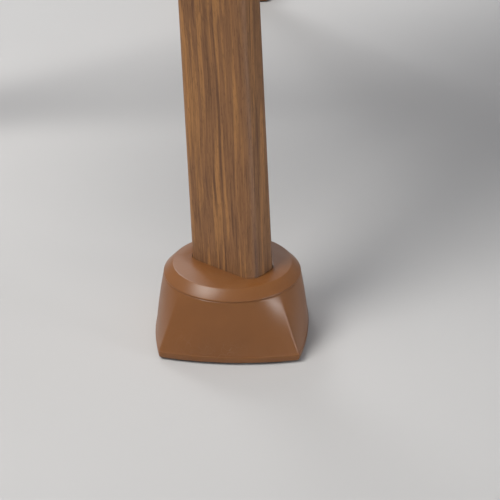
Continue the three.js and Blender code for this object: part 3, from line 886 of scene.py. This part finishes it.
def make_plungers():
    """The pull plunger: a thin stem and a mushroom cap with a gripping groove and a grooved edge."""
    start = UPPER_DEPTH / 2 + PLUNGER_GAP
    cap = HEAD_DEPTH / 2 + 0.009
    edge = cap + 0.01125
    profile = [(0.0040, start), (0.0048, start + 0.0015), (0.0050, cap - 0.0005), (0.0095, cap)]
    profile += [(0.0100, cap + 0.001), (0.0100, cap + 0.004), (0.0070, cap + 0.0055)]
    profile += [(0.0070, cap + 0.0075), (0.0100, cap + 0.009), (0.0105, cap + 0.0100)]
    profile += [(0.0105, cap + 0.0125), (0.0090, cap + 0.0140), (0.0030, cap + 0.0142)]
    plunger = turned("lock_plunger", profile, 48)
    def every_second(face):
        place = face.calc_center_median()
        number = round(math.degrees(math.atan2(place.y, place.x)) / 7.5 - 0.5)
        return abs(place.z - edge) < 0.0005 and number % 2
    with editing(plunger):
        pick(plunger, "FACE", every_second)
        bpy.ops.mesh.inset(thickness=0.0003, depth=-0.0004, use_individual=True)
    outwards(plunger, LOCK_AT)
    smooth(plunger, 30)
    to_corners(plunger, LEG_PLACE, "plunger_{}", ZINC, "lock_plunger")


def lobed_ring(up, grow):
    """One level of the five-lobed knob, up from its seat."""
    def place(angle):
        return at_angle(angle, KNOB_RADIUS + grow + KNOB_LOBE * math.cos(5 * angle), KNOB_SEAT + up)
    return place


def make_knobs():
    """The clamp knob, dished on its face."""
    levels = [(0.0005, -0.004), (0.0018, -0.001), (0.004, 0), (0.012, 0)]
    levels += [(0.0145, -0.001), (0.0157, -0.0030), (KNOB_THICK, -0.006)]
    dish = KNOB_SEAT + KNOB_THICK - 0.001
    rings = [plain_ring(KNOB_SEAT, 0.010), *(lobed_ring(*level) for level in levels)]
    rings += [plain_ring(dish, 0.010), plain_ring(dish, 0.0085)]
    knob = sideways(stacked("clamp_knob", 120, rings), LOCK_AT)
    smooth(knob)
    to_corners(knob, LEG_PLACE, "knob_{}", KNOB_BLACK, "clamp_knob")


def make_knob_screws():
    """The knob's steel screw, its end in the knob's face, and its collar."""
    top = KNOB_SEAT + 0.0158
    screw = rod("knob_screw", 0.0060, UPPER_WIDTH / 2 + PLUNGER_GAP, KNOB_SEAT + 0.001, 32)
    cap = rod("cap", 0.0060, KNOB_SEAT + 0.0145, top, 32)
    bevel(cap, lies(2, top), 0.0005, 2)
    collar = rod("collar", 0.0095, HEAD_WIDTH / 2 + 0.0033, KNOB_SEAT + 0.0002, 32)
    metal = sideways(joined("knob_screw", [screw, cap, collar]), LOCK_AT)
    smooth(metal)
    to_corners(metal, LEG_PLACE, "knob_{}", ZINC)


# ---- under-frame ----

def painted(piece, *nodes):
    finish_piece(piece, "horse", POWDER_COAT, "painted_frame", *nodes)


def screwed(name, screws, body="horse"):
    """Joins screws into one piece and finishes it."""
    group = joined(name, screws)
    smooth(group)
    finish_piece(group, body, ZINC, "steel")


def make_cross_heads():
    """The welded box across the body, with sloping shoulders and rounded folds."""
    flat, end_height = 0.160, 0.026
    for side in SIDES:
        low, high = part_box(f"cross_head_{side}")
        head = block(f"cross_head_box_{side}", low, high)
        with editing(head):
            for place in (-flat, flat):
                bpy.ops.mesh.select_all(action="SELECT")
                bpy.ops.mesh.bisect(plane_co=(0, place, 0), plane_no=(0, 1, 0))
            pick(head, "VERT", lambda point: abs(point.co.y) > flat + 0.01 and point.co.z > high.z - 0.001)
            bpy.ops.transform.translate(value=(0, 0, low.z + end_height - high.z))
        round_edges(head, 0.004, 4, 10)
        smooth(head, 30)
        painted(head, f"cross_head_{side}")


def make_spine():
    """The box section between the cross heads."""
    low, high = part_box("spine_beam")
    beam = block("spine_box", low, high)
    bevel(beam, runs(0), 0.007, 6)
    make_hollow(beam, 0.003, 0)
    smooth(beam)
    painted(beam, "spine_beam")


def make_spine_ends():
    """The plates at the ends of the spine, and their bolts."""
    low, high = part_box("spine_beam")
    length, width = (high - low).xy
    thick, spare = 0.006, 0.030
    plates, bolts = [], []
    for sign in (-1, 1):
        face = sign * length / 2
        near, far = sorted((face - sign * 0.0001, face - sign * thick))
        half = width / 2 + spare
        plate = block("plate", (near, -half, low.z - 0.002), (far, half, high.z))
        bevel(plate, runs(0), 0.010, 4)
        round_edges(plate, 0.001, 2)
        plates.append(plate)
        inwards = Matrix.Rotation(-sign * math.pi / 2, 4, "Y")
        for across in (-width / 2 - 0.016, width / 2 + 0.016):
            for level in (low.z + 0.012, high.z - 0.014):
                bolt = turn_mesh(hex_screw(0.0075, 0.0055, 0.0016), inwards)
                bolts.append(shifted(bolt, face - sign * thick, across, level))
    plates = joined("spine_end_plates", plates)
    smooth(plates)
    painted(plates)
    screwed("spine_bolts", bolts)


def make_tensioner_eye():
    """The plate with a hole for the floor tensioner's hook, and the weld beads along its top."""
    low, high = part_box("tensioner_eye")
    plate = block("tensioner_plate", low, high)
    bevel(plate, lambda edge: runs(1)(edge) and edge.verts[0].co.z < low.z + 0.001, 0.018, 6)
    hole = turn_mesh(rod("hole", 0.012, -0.02, 0.02, 40), Matrix.Rotation(math.pi / 2, 4, "X"))
    carve(plate, shifted(hole, 0, 0, low.z + 0.022))
    round_edges(plate, 0.0012, 3, 50)
    smooth(plate)
    painted(plate, "tensioner_eye")
    beads, steps = [], 40
    for y in (-0.0045, 0.0045):
        step = (high.x - low.x) / steps
        points = [(low.x + step * i, y, high.z - 0.001 + 0.0004 * (i % 2)) for i in range(steps + 1)]
        beads.append(tube_along("bead", points, 0.0028))
    painted(joined("tensioner_weld", beads))


def make_frame_bolts():
    """The bolts that hold the cross heads up to the body, seen from below."""
    bolts = []
    for side in SIDES:
        centre = middle(f"cross_head_{side}")
        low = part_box(f"cross_head_{side}")[0].z
        for across in (-0.105, 0.105):
            for along in (-0.028, 0.028):
                bolt = turn_mesh(hex_screw(0.0085, 0.006, 0.0018), Matrix.Rotation(math.pi, 4, "X"))
                bolts.append(shifted(bolt, centre.x + along, across, low))
    screwed("cross_head_bolts", bolts)


# ---- padded body ----

BODY_LOW, BODY_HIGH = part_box("leather_cover")
TOP_HALF, BOTTOM_HALF = (0.800, 0.175), (0.775, 0.150)
FLARE = TOP_HALF[0] - BOTTOM_HALF[0]
BODY_CORNER, TOP_EDGE = 0.120, 0.030
SWELL, CROWN, RIPPLE = 0.0045, 0.0035, 0.0004
CROWN_HALF, CROWN_FADE = (0.745, 0.113), (0.12, 0.08)  # the crown stays between the pommels' flanges
WELT_HEIGHT = BODY_HIGH.z - 0.034
SEAMS_AT = (-0.52, 0.52)
STITCH_GAP, STITCHES_DOWN, TACK_GAP = 0.009, 34, 0.032


def share_up(height):
    """How far up the body a height lies, from 0 to 1."""
    return (height - BODY_LOW.z) / (BODY_HIGH.z - BODY_LOW.z)


def body_outline(height):
    """The rounded outline of the body at a height, before its padding swells."""
    half_x, half_y = (half + FLARE * share_up(height) - BODY_CORNER for half in BOTTOM_HALF)
    points = []
    for turn, (sx, sy) in enumerate(((1, 1), (-1, 1), (-1, -1), (1, -1))):
        centre = Vector((half_x * sx, half_y * sy, height))
        for step in range(13):
            angle = (turn + step / 12) * math.pi / 2
            points.append(centre + at_angle(angle, BODY_CORNER, 0))
    return points


def spaced(points, gap):
    """Points at an even spacing along a closed line, each with the line's direction."""
    made, left = [], 0.0
    for first, second in zip(points, points[1:] + points[:1]):
        step = second - first
        length = step.length
        if length < 1e-7:
            continue
        at = left
        while at < length:
            made.append((first + step * (at / length), step / length))
            at += gap
        left = at - length
    return made


def gentle(share):
    """Rises from 0 to 1 as share does, with no sudden start or end."""
    share = min(max(share, 0), 1)
    return share * share * (3 - 2 * share)


def crowned(point):
    """How far the padding stands out at a point of the body: on its sides, and on its top."""
    ripple = RIPPLE * math.sin(point.x * 23 + 1) * math.sin(point.z * 31 + point.x * 5)
    side = SWELL * math.sin(math.pi * min(max(share_up(point.z), 0), 1)) + ripple
    inside = math.prod(gentle((CROWN_HALF[i] - abs(point[i])) / CROWN_FADE[i]) for i in (0, 1))
    return side, (CROWN + ripple) * inside


def swell(cover):
    """Moves the points of the hide to where the padding pushes them."""
    for point in cover.data.vertices:
        side, top = crowned(point.co)
        outward = Vector((point.co.x * 0.2, point.co.y, 0))
        if abs(point.co.x) > 0.69:
            past = math.copysign(abs(point.co.x) - 0.69, point.co.x)
            outward = Vector((past, point.co.y * 0.55, 0))
        if BODY_LOW.z + 0.01 < point.co.z < BODY_HIGH.z - 0.004:
            point.co += outward.normalized() * side
        elif point.co.z > BODY_HIGH.z - 0.004:
            point.co.z += top


def make_leather_cover():
    """The hide over the padding: tapered sides, round corners, a soft top edge and a turned-in hem."""
    low, high = BODY_LOW.z, BODY_HIGH.z
    x, y = TOP_HALF
    taper = (BOTTOM_HALF[0] / x, BOTTOM_HALF[1] / y, 1)
    cover = block("leather_cover_skin", (-x, -y, low), (x, y, high))
    bevel(cover, runs(2), BODY_CORNER, 14)
    with editing(cover):
        pick(cover, "FACE", faces_down)
        bpy.ops.transform.resize(value=taper, center_override=(0, 0, low))
    bevel(cover, lies(2, high), TOP_EDGE, 7)
    bevel(cover, lies(2, low), 0.007, 3)
    with editing(cover):
        pick(cover, "FACE", faces_down)
        bpy.ops.mesh.inset(thickness=0.020)
        bpy.ops.mesh.extrude_region_move(TRANSFORM_OT_translate={"value": (0, 0, 0.004)})
        pick(cover, "FACE", lies(2, high))
        for width in (0.012, 0.020, 0.022, 0.022):
            bpy.ops.mesh.inset(thickness=width)
    cut_up(cover, lambda edge: abs(edge.verts[0].co.z - edge.verts[1].co.z) > 0.15, 12)
    cut_up(cover, lambda edge: (edge.verts[1].co - edge.verts[0].co).length > 0.8, 40)
    swell(cover)
    smooth(cover, 50)
    finish_piece(cover, "horse", TAN_HIDE, "leather", "leather_cover", "foam_padding")


def round_body(height, proud):
    """A closed line round the body at a height, standing out by proud, a function of the point."""
    outline = body_outline(height)
    return [point + Vector((point.x, point.y * 2, 0)).normalized() * proud(point) for point in outline]


def over_padding(gap):
    return lambda point: crowned(point)[0] + gap


def side_seam_points(x, side):
    """A line down the body's side at a place along it, a little proud of the padding."""
    start, steps = BODY_LOW.z + 0.006, 24
    points = []
    for step in range(steps + 1):
        height = start + (BODY_HIGH.z - 0.036 - start) * step / steps
        point = Vector((x, side * (BOTTOM_HALF[1] + FLARE * share_up(height)), height))
        point.y += side * over_padding(0.0002)(point)
        points.append(point)
    return points


def ball(name, segments, rings, scale):
    sphere = bpy.ops.mesh.primitive_uv_sphere_add
    return fresh(name, sphere, segments=segments, ring_count=rings, radius=1, scale=scale)


def facing(place, direction):
    """Moves a piece that points along Z to a place, pointing in a direction."""
    return Matrix.Translation(place) @ direction.to_track_quat("Z", "Y").to_matrix().to_4x4()


def repeated(name, pattern, places, material, slot):
    """Copies one small piece to many places, joins them and finishes them."""
    copies = [copy_of(pattern, name, facing(*place)) for place in places]
    bpy.data.objects.remove(pattern)
    group = joined(name, copies)
    smooth(group, 60)
    finish_piece(group, "horse", material, slot)


def make_welt_and_seams():
    """The welt round the top edge, and the seams down the sides."""
    welt = tube_along("top_welt", round_body(WELT_HEIGHT, over_padding(0.0004)), 0.0034, True)
    finish_piece(welt, "horse", WELT_HIDE, "leather")
    lines = [side_seam_points(x, side) for x in SEAMS_AT for side in (-1, 1)]
    seams = joined("side_seams", [tube_along("seam", line, 0.0024) for line in lines])
    finish_piece(seams, "horse", WELT_HIDE, "leather")


def make_stitches():
    """Two rows of stitches along the welt and along each seam."""
    places = []
    for offset in (0.0085, -0.0085):
        places += spaced(round_body(WELT_HEIGHT + offset, over_padding(0.0002)), STITCH_GAP)
    for x in SEAMS_AT:
        for side in (-1, 1):
            for offset in (-0.007, 0.007):
                places += spaced(side_seam_points(x + offset, side), STITCH_GAP)[:STITCHES_DOWN]
    thread = ball("thread", 6, 4, (0.0011, 0.0011, 0.0033))
    repeated("seam_stitches", thread, places, THREAD, "leather")


def make_hem():
    """The band round the bottom edge, and its tacks."""
    height = BODY_LOW.z + 0.0145
    path = round_body(height, lambda point: 0.0006)
    band = tube_along("hem_band", path, 0.0055, True)
    for point in band.data.vertices:
        point.co.z = height + (point.co.z - height) * 1.6
    finish_piece(band, "horse", WELT_HIDE, "leather")
    places = []
    for place, direction in spaced(path, TACK_GAP):
        outward = direction.cross(Vector((0, 0, 1))).normalized()
        places.append((place + outward * 0.0048, outward))
    tack = ball("tack", 12, 6, (0.0045, 0.0045, 0.0045 * 0.55))
    repeated("hem_tacks", tack, places, BRASS, "steel")


# ---- pommels ----

GRIP_CORNER, GRIP_LEAN, GRIP_FLARE = 0.052, 0.006, 0.16
FLANGE_HALF, FLANGE_CORNER, PAD_SPARE = (0.035, 0.021), 0.020, 0.0015
FLANGE_SCREWS_AT = (-0.0255, 0.0255)


def grip_line(start, crest, half):
    """The middle line of a grip: up from one flange, over a shoulder, along the top and down again."""
    points = [Vector((0, half, start)), Vector((0, half, start + 0.014))]
    shoulder = half - GRIP_LEAN - GRIP_CORNER
    for step in range(15):
        angle = step / 14 * math.pi / 2
        out, up = GRIP_CORNER * math.cos(angle), GRIP_CORNER * math.sin(angle)
        points.append(Vector((0, shoulder + out, crest - GRIP_CORNER + up)))
    points += [Vector((0, shoulder - 0.03, crest + 0.0006)), Vector((0, 0.02, crest + 0.0012))]
    return points + [Vector((0, -point.y, point.z)) for point in reversed(points)]


def make_pommels():
    for side in SIDES:
        low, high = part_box(f"pommel_grip_{side}")
        radius = (high.x - low.x) / 2
        half = middle(f"pommel_bolt_{side}_back").y
        grip = tube_along("grip", grip_line(low.z, high.z - radius, half), radius, sides=10)
        for point in grip.data.vertices:
            flare = GRIP_FLARE * max(0.0, 1 - (point.co.z - low.z) / 0.022) ** 2
            point.co.x *= 1 + flare
            point.co.y += (point.co.y - math.copysign(half, point.co.y)) * flare
        grip.name = f"pommel_grip_wood_{side}"
        keep_own_place(grip)
        shifted(grip, (low.x + high.x) / 2, 0, 0)
        smooth(grip, 40)
        finish_piece(grip, f"pommel_{side}", ASH, "pommel_wood", f"pommel_grip_{side}")
        for end in ENDS:
            make_flange(side, end, (low.x + high.x) / 2)


def plate_of(name, half, low, high, corner):
    """A level plate with round corners."""
    plate = block(name, (-half[0], -half[1], low), (half[0], half[1], high))
    bevel(plate, runs(2), corner, 10)
    return plate


def make_flange(side, end, x):
    """The plate under a grip's end, with two sunk screws, on a thin rubber pad."""
    low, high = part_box(f"pommel_flange_{side}_{end}")
    y, top = (low.y + high.y) / 2, high.z
    body, place = f"pommel_{side}", f"{side}_{end}"
    plate = plate_of(f"flange_plate_{place}", FLANGE_HALF, low.z + 0.0012, top - 0.0001, FLANGE_CORNER)
    bevel(plate, lies(2, top - 0.0001), 0.003, 3)
    screws = []
    for along in FLANGE_SCREWS_AT:
        sink = turned("sink", [(0.0001, top - 0.005), (0.0022, top - 0.0045), (0.0058, top + 0.001)], 32)
        carve(plate, shifted(sink, along, 0, 0))
        profile = [(0.0020, top - 0.0042), (0.0046, top - 0.0016), (0.0044, top - 0.0012)]
        screw = turned("screw", profile, 32)
        carve(screw, rod("key", 0.0021, top - 0.003, top + 0.001, 6))
        screws.append(shifted(screw, x + along, y, 0))
    smooth(plate)
    finish_piece(shifted(plate, x, y, 0), body, POWDER_COAT, "painted_frame", f"pommel_flange_{place}")
    screwed(f"flange_screws_{place}", screws, body)
    half = [size + PAD_SPARE for size in FLANGE_HALF]
    pad = plate_of(f"flange_pad_{place}", half, low.z - 0.0001, low.z + 0.0013, 0.021)
    smooth(pad)
    finish_piece(shifted(pad, x, y, 0), body, RUBBER, "rubber")


# ---- what stays as the frame has it ----

def paint_frame_nodes():
    """Gives the frame's own solids that stay on show, or hide inside, their materials."""
    looks = {
        "top_deck": PLYWOOD,
        "bottom_board": PLYWOOD,
        "side_board": PLYWOOD,
        "end_block": PLYWOOD,
        "pommel_rail": ZINC,
        "pommel_bolt": ZINC,
        "leg_plug": ZINC,
        "foot_sole": RUBBER,
    }
    for name, piece in frame["nodes"].items():
        for start, look in looks.items():
            if name.startswith(start):
                dress(piece, look)


def lay_floor():
    floor = fresh("floor", bpy.ops.mesh.primitive_plane_add, size=60, location=(0, 0, -0.0002))
    floor.data.materials.append(floor_material())


aim_camera()
light_studio()
lay_floor()
paint_frame_nodes()
make_foot_shells()
make_foot_collars()
make_leg_tubes()
make_upper_tubes()
make_tube_sockets()
make_leg_heads()
make_head_screws()
make_plungers()
make_knobs()
make_knob_screws()
make_cross_heads()
make_spine()
make_spine_ends()
make_tensioner_eye()
make_frame_bolts()
make_leather_cover()
make_welt_and_seams()
make_stitches()
make_hem()
make_pommels()
